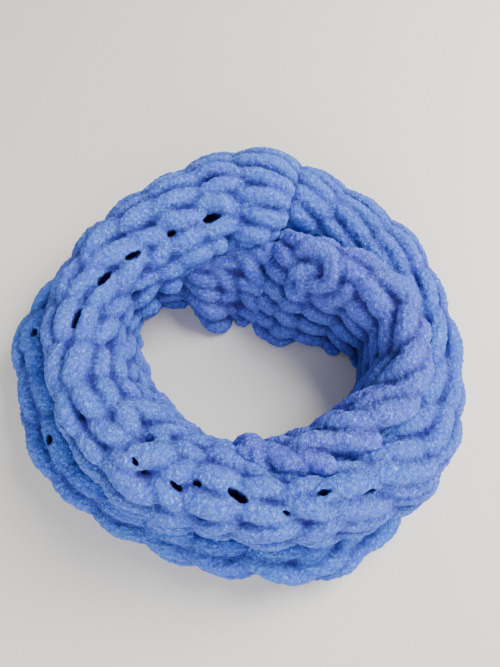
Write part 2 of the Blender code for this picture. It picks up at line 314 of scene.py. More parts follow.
@dataclass
class KnittedLayer:
    """A stretch of stocking stitch laid on one folded surface.

    The wales run round the ring, and each V points clockwise. Tables by turn angle give the wales' drift
    across the fold and their spread, the free edge's dip, how lively the stitches are, and how far the yarn
    goes on under the fold's first edge.
    """

    LOOP_BALLS = 60
    CURL_BALLS = 70
    # Where the first wale may start, before the fold's first edge.
    FIRST_WALE = -10.0
    # How far the strands go past the layer's first and last angle, and where they begin to sink there.
    PAST_FIRST = 1.5
    PAST_LAST = 0.6
    SINK_TURN = 5.0
    DIPPED_EDGE = 18.0
    BACKING_TURN = 1.1
    BACKING_STEP = 2.2
    BACKING_DEPTH = 9.0
    BACKING_RADIUS = 5.6
    # How much stitches differ: in lean, place and twist across, length, place along, lift and girth.
    VARIATION = (0.25, 1.0, 1.1, 0.06, 0.05, 0.9, 0.05)

    name: str
    folds: tuple[Fold, ...]
    first_angle: float
    last_angle: float
    seed: int
    replaces: tuple[str, ...]
    slot: str
    drift: Table = LEVEL
    spread: Table = EVEN
    middle_reach: float = 50.0
    edge_dip: Table = LEVEL
    liveliness: Table = EVEN
    from_inner_edge: bool = False
    wale_width: float = 26.0
    yarn_radius: float = 7.2
    leg_lean: float = 0.19
    loop_half: float = 0.74
    yarn_depth: float = 4.6
    unevenness: float = 1.35
    under: Table = LEVEL
    over_reach: float = 0.0
    end_dip: float = 4.0
    slits: tuple[Slit, ...] = ()
    curls: tuple[Curl, ...] = ()
    cuts: tuple[float, ...] = ()
    hold: Hold = Hold.FOLDED

    @cached_property
    def surface(self) -> FoldedSurface:
        """The layer's middle surface."""
        return FoldedSurface(self.folds, self.from_inner_edge)

    def shift(self, angle: np.ndarray) -> np.ndarray:
        """Returns how far the wales have drifted across the fold at each angle."""
        table = np.array(self.drift, float)
        return smooth_path(np.clip(angle, table[0, 0], table[-1, 0]), table[:, 0], table[:, 1])

    def reach_of(self, x: np.ndarray, angle: np.ndarray) -> np.ndarray:
        """Returns the reach of points given by their wale coordinate, where the wales slant and spread."""
        spread = read_table(self.spread, angle)
        return self.middle_reach + (x + self.shift(angle) - self.middle_reach) * spread

    def rows(self) -> int:
        """Returns the number of rows of stitches."""
        return round((self.last_angle - self.first_angle) / STITCH_ANGLE)

    def loop(self, row: int, wale: int, jolt: np.ndarray) -> YarnBalls | None:
        """Lays the loop of one stitch.

        Args:
            row: The stitch's row, counted back from the last angle.
            wale: Its column.
            jolt: Eight random numbers that make it uneven.

        Returns:
            The loop's balls in millimetres, or None where it lies outside the layer.
        """
        t = np.linspace(0, 2 * math.pi, self.LOOP_BALLS, endpoint=False)
        step = (self.last_angle - self.first_angle) / self.rows()
        lively = float(read_table(self.liveliness, self.last_angle - row * step))
        uneven = np.array(self.VARIATION) * jolt[:7] * (self.unevenness * lively)
        leaning, aside, twist, longer, later, raised, fatter = uneven
        width = self.wale_width
        lean = self.leg_lean * lively * (1 + leaning)
        x = width * (wale + t / (2 * math.pi)) + lean * width * np.sin(2 * t)
        x = x + aside + twist * np.cos(t)
        along = row + 0.5 - self.loop_half * (1 + longer) * np.cos(t) + later
        lift = -self.yarn_depth * (1 + np.cos(2 * t)) - 0.4 + raised
        fat = self.yarn_radius * (1 + fatter) * (1 + 0.04 * np.sin(2 * t + jolt[7]))
        angle = self.last_angle - along * step
        reach = self.reach_of(x, angle)
        length = self.surface.length(angle)
        leg_middle = self.reach_of(np.where(t < math.pi, 0.25, 0.75) * width + width * wale, angle)
        kept = (leg_middle > -read_table(self.under, angle)) & (leg_middle < length + self.over_reach)
        kept &= (angle > self.first_angle - self.PAST_FIRST) & (angle < self.last_angle + self.PAST_LAST)
        if not kept.any():
            return None
        moved = reach.copy()
        for slit in self.slits:
            moved += slit.pushed(angle, reach)
        from_first = angle - self.first_angle + self.PAST_FIRST
        from_end = np.minimum(from_first, self.last_angle + self.PAST_LAST - angle)
        lift = lift - self.end_dip * (1 - np.clip(from_end / self.SINK_TURN, 0, 1)) ** 2
        near_edge = np.clip((moved - length + self.DIPPED_EDGE) / self.DIPPED_EDGE, 0, 1)
        lift = lift - read_table(self.edge_dip, angle) * near_edge**2
        return YarnBalls(self.surface.at(angle[kept], moved[kept], lift[kept]), fat[kept])

    def loose_loop(self, curl: Curl) -> YarnBalls:
        """Lays one loose loop by the seam, with both of its ends sunk into the fabric.

        Args:
            curl: The loop.

        Returns:
            The loop's balls in millimetres.
        """
        sink, sink_balls = 7.0, 12.0
        places = np.array(curl.places, float)
        order = np.arange(len(places), dtype=float)
        count = self.CURL_BALLS
        path = smooth_path(np.linspace(0, len(places) - 1, count), order, places)
        ends = np.minimum(np.arange(count), np.arange(count)[::-1]) / sink_balls
        raised = curl.lift - sink * (1 - np.clip(ends, 0, 1)) ** 2
        return YarnBalls(self.surface.at(path[:, 0], path[:, 1], raised), np.full(count, curl.radius))

    def knit(self) -> YarnBalls:
        """Lays every loop of the layer.

        Returns:
            The yarn's balls in millimetres.
        """
        rng = np.random.default_rng(self.seed)
        drift = np.array(self.drift, float)[:, 1]
        longest = float(self.surface.lengths.max())
        lowest = math.floor((self.FIRST_WALE - drift.max()) / self.wale_width) - 2
        highest = math.ceil((longest + self.over_reach - drift.min()) / self.wale_width) + 2
        strands = []
        for row in range(self.rows()):
            for wale in range(lowest, highest):
                strands.append(self.loop(row, wale, rng.normal(0, 1, 8)))
        strands += [self.loose_loop(curl) for curl in self.curls]
        return YarnBalls.gathered([strand for strand in strands if strand is not None])

    def backing(self) -> YarnBalls:
        """Fills in behind the loops, where the yarn of each row crosses to the next stitch.

        Returns:
            Balls over the back of the fabric, in millimetres.
        """
        centres = []
        for angle in np.arange(self.first_angle, self.last_angle, self.BACKING_TURN):
            length = float(self.surface.length(np.array([angle]))[0]) + self.over_reach
            reach = np.arange(1.0 - float(read_table(self.under, angle)), length - 1.0, self.BACKING_STEP)
            away = np.ones(len(reach), bool)
            for slit in self.slits:
                long = (angle - slit.angle) / (0.5 * STITCH_ANGLE)
                away &= long**2 + ((reach - slit.reach) / 7.0) ** 2 > 1.0
            reach = reach[away]
            centres.append(self.surface.at(0 * reach + angle, reach, 0 * reach - self.BACKING_DEPTH))
        points = np.concatenate(centres)
        return YarnBalls(points, np.full(len(points), self.BACKING_RADIUS))

    def flat_area(self) -> float:
        """Returns the area of this stretch in square metres, before it was folded."""
        angle = np.linspace(self.first_angle, self.last_angle, 200)
        wide = self.surface.length(angle) + read_table(self.under, angle) + self.over_reach
        return float(np.mean(wide)) * self.rows() * STITCH_LENGTH * MM * MM


class YarnField:
    """A grid of distances to the yarn, from which a closed surface is drawn."""

    def __init__(self, low: np.ndarray, high: np.ndarray, cell: float) -> None:
        """Makes an empty grid.

        Args:
            low: The lowest corner in millimetres.
            high: The highest corner in millimetres.
            cell: The grid's step in millimetres.
        """
        self.cell = cell
        self.low = np.asarray(low, float) - 3 * cell
        self.shape = tuple(int(n) for n in np.ceil((np.asarray(high) + 3 * cell - self.low) / cell) + 1)
        self.values = np.full(self.shape, 3.0 * cell, np.float32)

    def window(self, centre: np.ndarray, reach: float) -> tuple[slice, ...]:
        """Returns the part of the grid within reach of a place."""
        first = np.maximum(np.floor((centre - reach - self.low) / self.cell).astype(int), 0)
        last = np.minimum(np.ceil((centre + reach - self.low) / self.cell).astype(int) + 1, self.shape)
        return tuple(slice(a, max(a, b)) for a, b in zip(first, last))

    def add(self, balls: YarnBalls) -> None:
        """Adds yarn to the grid.

        Args:
            balls: The yarn, in millimetres.
        """
        axes = [self.low[a] + self.cell * np.arange(self.shape[a]) for a in range(3)]
        for centre, radius in zip(balls.centres, balls.radii):
            part = self.window(centre, radius + 2.6 * self.cell)
            dx, dy, dz = (axes[a][part[a]] - centre[a] for a in range(3))
            far = np.sqrt((dx * dx)[:, None, None] + (dy * dy)[None, :, None] + (dz * dz)[None, None, :])
            np.minimum(self.values[part], far - radius, out=self.values[part])

    def carve(self, centre: np.ndarray, axes: np.ndarray, halves: tuple[float, float, float]) -> None:
        """Opens a hole of an ellipsoid's shape.

        Args:
            centre: The hole's middle in millimetres.
            axes: Its three unit directions, one a row.
            halves: Its half lengths along them in millimetres.
        """
        part = self.window(centre, max(halves) + 2 * self.cell)
        away = np.moveaxis(np.mgrid[part], 0, -1) * self.cell + self.low - centre
        scaled = (away @ axes.T) / np.array(halves)
        outside = (np.linalg.norm(scaled, axis=-1) - 1.0) * min(halves)
        np.maximum(self.values[part], -outside.astype(np.float32), out=self.values[part])

    def soften(self) -> None:
        """Rounds the grooves between strands, as the pile's tips do where they meet."""
        for axis in range(3):
            rolled = np.moveaxis(self.values, axis, 0)
            middle = 0.5 * rolled[1:-1] + 0.25 * (rolled[2:] + rolled[:-2])
            rolled[1:-1] = middle

    def rest_on_table(self, height: float) -> None:
        """Cuts the yarn off flat at the table.

        Args:
            height: The height of the cut in millimetres.
        """
        z = self.low[2] + self.cell * np.arange(self.shape[2])
        np.maximum(self.values, (height - z)[None, None, :].astype(np.float32), out=self.values)

    def cavity(self, points: np.ndarray) -> np.ndarray:
        """Measures how deep in a crease each point lies, by the share of yarn round it; this sets the
        painted crease shade.

        Args:
            points: The places, in millimetres.

        Returns:
            Values from 0 on a crest to 1 in a pit.
        """
        crest_share, pit_share, around = 0.38, 0.65, 3.2
        full = np.clip(0.5 - self.values / (2 * self.cell), 0, 1)
        reach = max(1, int(round(around / self.cell)))
        for _ in range(2):
            for axis in range(3):
                summed = np.cumsum(full, axis=axis, dtype=np.float64)
                places = np.arange(full.shape[axis])
                ahead = np.take(summed, np.minimum(places + reach, full.shape[axis] - 1), axis)
                behind = np.take(summed, np.maximum(places - reach - 1, 0), axis)
                full = ((ahead - behind) / (2 * reach + 1)).astype(np.float32)
        i = np.clip(np.round((points - self.low) / self.cell).astype(int), 0, np.array(self.shape) - 1)
        share = full[i[:, 0], i[:, 1], i[:, 2]]
        return np.clip((share - crest_share) / (pit_share - crest_share), 0, 1)

    def net(self) -> tuple[np.ndarray, np.ndarray]:
        """Draws the surface where the distance is nought.

        Returns:
            The vertices in millimetres, and the four-sided faces as vertex numbers.
        """
        values = self.values
        inside = values < 0
        strides = np.array([(self.shape[1] - 1) * (self.shape[2] - 1), self.shape[2] - 1, 1])
        keys, sums, faces = [], [], []
        for axis in range(3):
            lead, tail = [slice(None)] * 3, [slice(None)] * 3
            lead[axis], tail[axis] = slice(1, None), slice(None, -1)
            at = np.argwhere(inside[tuple(lead)] != inside[tuple(tail)])
            one, two = [other for other in range(3) if other != axis]
            for other in (one, two):
                at = at[(at[:, other] > 0) & (at[:, other] < self.shape[other] - 1)]
            a = values[tuple(at.T)]
            b = values[tuple((at + np.eye(3, dtype=int)[axis]).T)]
            spot = at.astype(float)
            spot[:, axis] += a / (a - b)
            corners = []
            for back in ((1, 1), (0, 1), (0, 0), (1, 0)):
                cell_at = at.copy()
                cell_at[:, [one, two]] -= back
                corners.append(cell_at @ strides)
            keys += corners
            sums += [spot] * 4
            quad = np.stack(corners, axis=1)
            flip = (a < 0) == (axis == 1)
            quad[flip] = quad[flip][:, ::-1]
            faces.append(quad)
        keys = np.concatenate(keys)
        sums = np.concatenate(sums)
        used, index = np.unique(keys, return_inverse=True)
        count = np.bincount(index)
        points = np.stack([np.bincount(index, sums[:, c]) / count for c in range(3)], axis=1)
        quads = np.searchsorted(used, np.concatenate(faces))
        return points * self.cell + self.low, quads


def pile_noise(points: np.ndarray, size: float, seed: int) -> np.ndarray:
    """Reads a smooth random field.

    Args:
        points: The places, in millimetres.
        size: The distance between its humps in millimetres.
        seed: What sets the pattern.

    Returns:
        Values from -1 to 1, one a point.
    """
    rng = np.random.default_rng(seed)
    lattice = rng.uniform(-1, 1, (32, 32, 32)).astype(np.float32)
    spot = points / size
    base = np.floor(spot).astype(int)
    part = spot - base
    part = part * part * (3 - 2 * part)
    total = np.zeros(len(points))
    for step in np.ndindex(2, 2, 2):
        weight = np.prod(np.where(step, part, 1 - part), axis=1)
        corner = (base + step) & 31
        total += weight * lattice[tuple(corner.T)]
    return total


def quad_normals(points: np.ndarray, quads: np.ndarray) -> np.ndarray:
    """Finds the way out at each vertex of a mesh.

    Args:
        points: The vertices.
        quads: The four-sided faces.

    Returns:
        One unit normal a vertex.
    """
    a = points[quads[:, 2]] - points[quads[:, 0]]
    b = points[quads[:, 3]] - points[quads[:, 1]]
    face = np.cross(a, b)
    total = np.zeros_like(points)
    for corner in range(4):
        for c in range(3):
            total[:, c] += np.bincount(quads[:, corner], face[:, c], len(points))
    return total / (np.linalg.norm(total, axis=1)[:, None] + 1e-12)


def parted(
    points: np.ndarray, quads: np.ndarray, cuts: tuple[float, ...]
) -> list[tuple[np.ndarray, np.ndarray, np.ndarray]]:
    """Parts a closed mesh at upright planes through the ring's centre.

    Args:
        points: The mesh's vertices in millimetres.
        quads: Its four-sided faces.
        cuts: The turn angles to part it at, rising.

    Returns:
        For each stretch its vertex numbers, its faces by their own numbering, and its open edges.
    """
    if not cuts:
        return [(np.arange(len(points)), quads, np.zeros((0, 2), int))]
    middle = points[quads].mean(axis=1)
    angle = np.degrees(np.arctan2(middle[:, 0] - RING_CENTRE[0], middle[:, 1] - RING_CENTRE[1])) % 360
    part = np.searchsorted(np.array(cuts), (angle - cuts[0]) % 360 + cuts[0], side="right") - 1
    stretches = []
    for number in range(len(cuts)):
        used, flat = np.unique(quads[part == number], return_inverse=True)
        own = flat.reshape(-1, 4)
        heads = own.reshape(-1)
        tails = np.roll(own, -1, axis=1).reshape(-1)
        forward = heads.astype(np.int64) * len(used) + tails
        backward = tails.astype(np.int64) * len(used) + heads
        open_edge = ~np.isin(forward, backward)
        stretches.append((used, own, np.stack([tails[open_edge], heads[open_edge]], axis=1)))
    return stretches


def joined(edges: np.ndarray, count: int) -> np.ndarray:
    """Finds which points the edges join.

    Args:
        edges: Pairs of point numbers.
        count: The number of points.

    Returns:
        A number for each point, the same for all that are joined.
    """
    label = np.arange(count)
    while True:
        low = np.minimum(label[edges[:, 0]], label[edges[:, 1]])
        new = label.copy()
        np.minimum.at(new, label[edges[:, 0]], low)
        np.minimum.at(new, label[edges[:, 1]], low)
        for _ in range(3):
            new = new[new]
        if (new == label).all():
            return label
        label = new


def main_shells(points: np.ndarray, quads: np.ndarray) -> tuple[np.ndarray, np.ndarray]:
    """Leaves out the small closed pockets between strands.

    Args:
        points: The vertices.
        quads: The four-sided faces.

    Returns:
        The vertices and faces of the shells with at least a tenth as many vertices as the largest.
    """
    label = joined(np.concatenate([quads[:, :2], quads[:, 2:], quads[:, 1:3]]), len(points))
    sizes = np.bincount(label, minlength=len(points))
    kept = sizes[label] >= 0.1 * sizes.max()
    number = np.cumsum(kept) - 1
    return points[kept], number[quads[kept[quads[:, 0]]]]


def placed(name: str, data: bpy.types.ID) -> bpy.types.Object:
    """Puts data in the scene as an object, and returns it."""
    obj = bpy.data.objects.new(name, data)
    bpy.context.scene.collection.objects.link(obj)
    return obj


def make_mesh(
    name: str, points: np.ndarray, quads: np.ndarray, rim: np.ndarray, depth: np.ndarray
) -> bpy.types.Object:
    """Makes a smooth closed object from a stretch of fabric.

    Args:
        name: The object's name.
        points: The vertices in millimetres.
        quads: The four-sided faces.
        rim: The open edges, as pairs of vertex numbers, to be closed by fans.
        depth: How deep in a crease each vertex lies, which sets how much painted crease shade it gets.

    Returns:
        The object, in the scene.
    """
    triangles = np.zeros((0, 3), int)
    if len(rim):
        label = joined(rim, len(points))[rim[:, 0]]
        fans = []
        for loop in np.unique(label):
            edges = rim[label == loop]
            hub = points[np.unique(edges)].mean(axis=0)
            # Painted shade: each fan's hub gets the full crease depth, so the hidden caps take the dark
            # crease colour.
            depth = np.append(depth, 1.0)
            points = np.vstack([points, hub])
            fans.append(np.column_stack([edges, np.full(len(edges), len(points) - 1)]))
        triangles = np.concatenate(fans)
    data = bpy.data.meshes.new(name)
    data.vertices.add(len(points))
    data.vertices.foreach_set("co", (points * MM).astype(np.float32).reshape(-1))
    corners = np.concatenate([quads.reshape(-1), triangles.reshape(-1)]).astype(np.int32)
    data.loops.add(len(corners))
    data.loops.foreach_set("vertex_index", corners)
    starts = np.concatenate([4 * np.arange(len(quads)), 4 * len(quads) + 3 * np.arange(len(triangles))])
    data.polygons.add(len(starts))
    data.polygons.foreach_set("loop_start", starts.astype(np.int32))
    data.polygons.foreach_set("use_smooth", np.ones(len(starts), bool))
    data.update(calc_edges=True)
    if len(rim):
        ends = np.empty(2 * len(data.edges), np.int32)
        data.edges.foreach_get("vertices", ends)
        ends = np.sort(ends.reshape(-1, 2), axis=1).astype(np.int64)
        rim_keys = np.sort(rim, axis=1) @ np.array([len(points), 1])
        data.edges.foreach_set("use_edge_sharp", np.isin(ends[:, 0] * len(points) + ends[:, 1], rim_keys))
    # Painted shade: the crease depth is stored for the material, which darkens the creases by it.
    crease_shade = data.attributes.new("crease_shade_depth", "FLOAT", "POINT")
    crease_shade.data.foreach_set("value", depth.astype(np.float32))
    data.validate()
    return placed(name, data)


def linear(colour: str) -> tuple[float, float, float, float]:
    """Returns the linear colour of an sRGB hex value, with alpha 1."""
    parts = [int(colour.lstrip("#")[i:i + 2], 16) / 255 for i in (0, 2, 4)]
    red, green, blue = (c / 12.92 if c <= 0.04045 else ((c + 0.055) / 1.055) ** 2.4 for c in parts)
    return red, green, blue, 1.0


def add_node(
    tree: bpy.types.NodeTree,
    kind: str,
    settings: dict[str, object] | None = None,
    values: dict[str | int, object] | None = None,
    links: dict[str | int, bpy.types.NodeSocket] | None = None,
) -> bpy.types.Node:
    """Adds a shader node.

    Args:
        tree: The material's node tree.
        kind: The node's type name, less its first word.
        settings: Its own properties.
        values: Its inputs' values.
        links: The outputs that feed its inputs.

    Returns:
        The node.
    """
    node = tree.nodes.new("ShaderNode" + kind)
    for key, value in (settings or {}).items():
        setattr(node, key, value)
    for key, value in (values or {}).items():
        node.inputs[key].default_value = value
    for key, output in (links or {}).items():
        tree.links.new(output, node.inputs[key])
    return node


def rescaled(
    tree: bpy.types.NodeTree,
    source: bpy.types.NodeSocket,
    given: tuple[float, float],
    wanted: tuple[float, float],
) -> bpy.types.NodeSocket:
    """Returns the output that gives the source's values, mapped from one range to another."""
    values = {"From Min": given[0], "From Max": given[1], "To Min": wanted[0], "To Max": wanted[1]}
    return add_node(tree, "MapRange", values=values, links={"Value": source}).outputs["Result"]


@dataclass(frozen=True)
class ChenilleFinish:
    """Polyester chenille: short looped pile all round a thin core, soft and matt, with its tips painted pale
    as a highlight.

    Sizes are in millimetres. The real curls are under 1 mm, and are drawn at about 2 mm so that they show.
    """

    name: str
    lit_tip: str
    body: str
    crease_shade: str
    curl_size: float = 2.2
    pile_depth: float = 2.2
    patch_size: float = 22.0
    sheen: float = 0.18

    def material(self) -> bpy.types.Material:
        """Makes the finish.

        Returns:
            Its material.
        """
        material = bpy.data.materials.new(self.name)
        material.use_nodes = True
        tree = material.node_tree
        place = {"Vector": add_node(tree, "TexCoord").outputs["Object"]}
        # Painted shade and highlight: thin dark lines where one curl of the pile meets the next, and a pale
        # top on each tuft, following the same heights that drive the bump.
        curls = {"Scale": 1000.0 / self.curl_size, "Detail": 2.0, "Roughness": 0.55, "Distortion": 1.2}
        curl = add_node(tree, "TexNoise", values=curls, links=place).outputs["Fac"]
        ridge = add_node(tree, "Math", {"operation": "SUBTRACT"}, {1: 0.5}, {0: curl}).outputs[0]
        height = add_node(tree, "Math", {"operation": "ABSOLUTE"}, links={0: ridge}).outputs[0]
        tufts = {"Scale": 1000.0 / (1.2 * self.curl_size), "Smoothness": 0.35, "Randomness": 1.0}
        tuft = add_node(tree, "TexVoronoi", {"feature": "SMOOTH_F1"}, tufts, place).outputs["Distance"]
        lifted = rescaled(tree, height, (0.0, 0.16), (0.0, 1.0))
        domed = rescaled(tree, tuft, (0.1, 0.75), (1.0, 0.0))
        pile = add_node(tree, "Mix", {"data_type": "FLOAT"}, {0: 0.5}, {2: lifted, 3: domed}).outputs[0]
        # Painted shade and highlight: the pile's height mixes the body colour in its gaps with the lit tip
        # colour on its tops.
        ends = {6: linear(self.body), 7: linear(self.lit_tip)}
        surface = add_node(tree, "Mix", {"data_type": "RGBA"}, ends, {0: pile}).outputs[2]
        # Painted shade: by its crease depth, the colour between strands is mixed towards a dark violet,
        # standing in for the light that sinks into the pile there.
        depth = add_node(tree, "Attribute", {"attribute_name": "crease_shade_depth"}).outputs["Fac"]
        dark = {0: rescaled(tree, depth, (0.12, 0.95), (0.0, 0.92)), 6: surface}
        shaded = add_node(tree, "Mix", {"data_type": "RGBA"}, {7: linear(self.crease_shade)}, dark).outputs[2]
        # The dye takes a little unevenly along the yarn.
        patches = {"Scale": 1000.0 / self.patch_size, "Detail": 2.0, "Roughness": 0.5}
        patch = add_node(tree, "TexNoise", values=patches, links=place).outputs["Fac"]
        hue = rescaled(tree, patch, (0.3, 0.7), (0.4965, 0.5065))
        dyed = add_node(tree, "HueSaturation", links={"Color": shaded, "Hue": hue}).outputs["Color"]
        bumps = {"Strength": 1.0, "Distance": self.pile_depth * MM}
        shader = tree.nodes["Principled BSDF"]
        bump = add_node(tree, "Bump", values=bumps, links={"Height": pile})
        tree.links.new(dyed, shader.inputs["Base Color"])
        tree.links.new(bump.outputs["Normal"], shader.inputs["Normal"])
        # Upright fibre ends scatter light: no highlight, and a pale rim where the pile is seen edge on.
        shader.inputs["Roughness"].default_value = 0.95
        shader.inputs["IOR"].default_value = 1.5
        shader.inputs["Specular IOR Level"].default_value = 0.15
        shader.inputs["Sheen Weight"].default_value = self.sheen
        shader.inputs["Sheen Roughness"].default_value = 0.45
        shader.inputs["Sheen Tint"].default_value = linear("#9DB4F5")
        return material


# Brushed chenille dyed periwinkle: a matt, powdery blue, with the pile's tips painted pale as a highlight
# where they catch the window.
PERIWINKLE_CHENILLE = ChenilleFinish("periwinkle_chenille", "#84ADFF", "#4169EE", "#26208A")
# Painted bounce light: the same yarn in the inner folds, given a more violet colour standing in for the
# light thrown back and forth between them.
BOUNCE_LIT_CHENILLE = ChenilleFinish("bounce_lit_periwinkle_chenille", "#8AA5FF", "#4B60E8", "#281C7C")
# Painted shade: the same yarn low down and inside, where it lies in shade, given a deeper blue with less
# pale tips.
SHADED_CHENILLE = ChenilleFinish("shaded_periwinkle_chenille", "#78A9FF", "#3866EA", "#242486")


@dataclass(frozen=True)
class Roll:
    """The outline of the hidden layers in one upright plane, as radii and two heights."""

    angle: float
    hole_foot: float
    hole_side: float
    hole_top: float
    crown_height: float
    outer_top: float
    groove: float
    ledge_height: float
    outer_foot: float

    def outline(self) -> tuple[tuple[float, float], ...]:
        """Traces the roll's section.

        Returns:
            Points of radius and height, from the table at the neck hole over the top to the table outside.
        """
        crown = 0.5 * (self.hole_top + self.outer_top)
        shoulder = 0.85 * self.crown_height
        above_ledge = shoulder - self.ledge_height
        return (
            (self.hole_foot + 3, REST_HEIGHT),
            (self.hole_foot, 5.0),
            (self.hole_side, 0.5 * self.crown_height),
            (self.hole_top, shoulder),
            (crown, self.crown_height),
            (self.outer_top, shoulder),
            (self.outer_top, self.ledge_height + 0.6 * above_ledge),
            (self.groove, self.ledge_height + 0.3 * above_ledge),
            (self.groove, self.ledge_height),
            (self.outer_foot, self.ledge_height - 3.0),
            (self.outer_foot + 2, 6.0),
            (self.outer_foot - 1, REST_HEIGHT),
        )


HIDDEN_ROLLS: tuple[Roll, ...] = (
    Roll(0, 68, 96, 124, 73, 140, 136, 22, 151),
    Roll(15, 62, 88, 116, 56, 138, 134, 22, 148),
    Roll(35, 60, 72, 86, 32, 134, 130, 12, 145),
    Roll(55, 72, 78, 88, 24, 132, 128, 10, 137),
    Roll(68, 88, 90, 94, 20, 128, 124, 9, 132),
    Roll(78, 98, 100, 102, 19, 124, 121, 9, 128),
    Roll(95, 96, 97, 100, 20, 122, 119, 9, 125),
    Roll(108, 87, 89, 94, 26, 118, 115, 11, 123),
    Roll(122, 78, 81, 88, 32, 107, 104, 9, 121),
    Roll(138, 72, 75, 79, 42, 97, 95, 9, 120),
    Roll(155, 67, 70, 77, 46, 98, 94, 20, 119),
    Roll(172, 73, 74, 79, 61, 97, 92, 25, 111),
    Roll(187, 76, 76, 80, 64, 94, 87, 27, 105),
    Roll(205, 64, 67, 78, 70, 94, 85, 28, 105),
    Roll(228, 62, 66, 79, 72, 97, 90, 28, 115),
    Roll(250, 70, 74, 84, 72, 102, 97, 28, 127),
    Roll(270, 79, 83, 92, 72, 108, 105, 28, 136),
    Roll(290, 96, 97, 101, 72, 116, 113, 26, 143),
    Roll(305, 105, 108, 113, 68, 119, 115, 15, 138),
    Roll(320, 98, 103, 117, 68, 123, 107, 7, 134),
    Roll(335, 82, 104, 122, 71, 131, 114, 8, 128),
)


@dataclass
class HiddenLayers:
    """The fabric folded away inside the ring, as one rounded roll with strands round it."""

    rolls: tuple[Roll, ...] = HIDDEN_ROLLS
    strand: float = 13.0
    strand_rise: float = 1.6
    angle_step: float = 1.0
    across: int = 132

    def build(self, finish: ChenilleFinish) -> None:
        """Makes the roll.

        Args:
            finish: What it is dressed in.
        """
        places = np.array([roll.angle for roll in self.rolls], float)
        outlines = np.array([roll.outline() for roll in self.rolls], float)
        places = np.concatenate([places[-3:] - 360, places, places[:3] + 360])
        outlines = np.concatenate([outlines[-3:], outlines, outlines[:3]])
        angles = np.arange(0.0, 360.0, self.angle_step)
        sections = smooth_path(angles, places, outlines)
        rings = []
        for angle, section in zip(angles, sections):
            steps = distances(section)
            run = np.linspace(0, steps[-1], self.across)
            line = smooth_path(run, steps, section)
            along = np.gradient(line, axis=0)
            out = np.stack([-along[:, 1], along[:, 0]], axis=1)
            out /= np.linalg.norm(out, axis=1)[:, None]
            twist = 0.35 * np.sin(np.radians(24 * angle)) * np.cos(math.pi * run / self.strand)
            rise = self.strand_rise * (np.abs(np.sin(math.pi * (run / self.strand + twist))) - 1.0)
            line = line + out * rise[:, None]
            turn = math.radians(angle)
            x = line[:, 0] * math.sin(turn) + RING_CENTRE[0]
            y = line[:, 0] * math.cos(turn) + RING_CENTRE[1]
            rings.append(np.stack([x, y, np.maximum(line[:, 1], REST_HEIGHT)], axis=1))
        points = np.concatenate(rings)
        here = np.arange(len(points)).reshape(-1, self.across)
        ahead = np.roll(here, -1, axis=0)
        corners = [ahead, np.roll(ahead, -1, axis=1), np.roll(here, -1, axis=1), here]
        quads = np.stack(corners, axis=-1).reshape(-1, 4)
        # Painted shade: every vertex of the roll gets a crease depth of 0.8, so the whole roll is coloured
        # mostly in the dark crease violet, standing in for the shade deep inside the ring.
        obj = make_mesh("hidden_fabric", points, quads, np.zeros((0, 2), int), np.full(len(points), 0.8))
        obj.data.materials.append(finish.material())
        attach(obj, "root")
        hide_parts("hidden_layers")
        LOG.info("hidden_fabric: %d faces", 2 * len(quads))


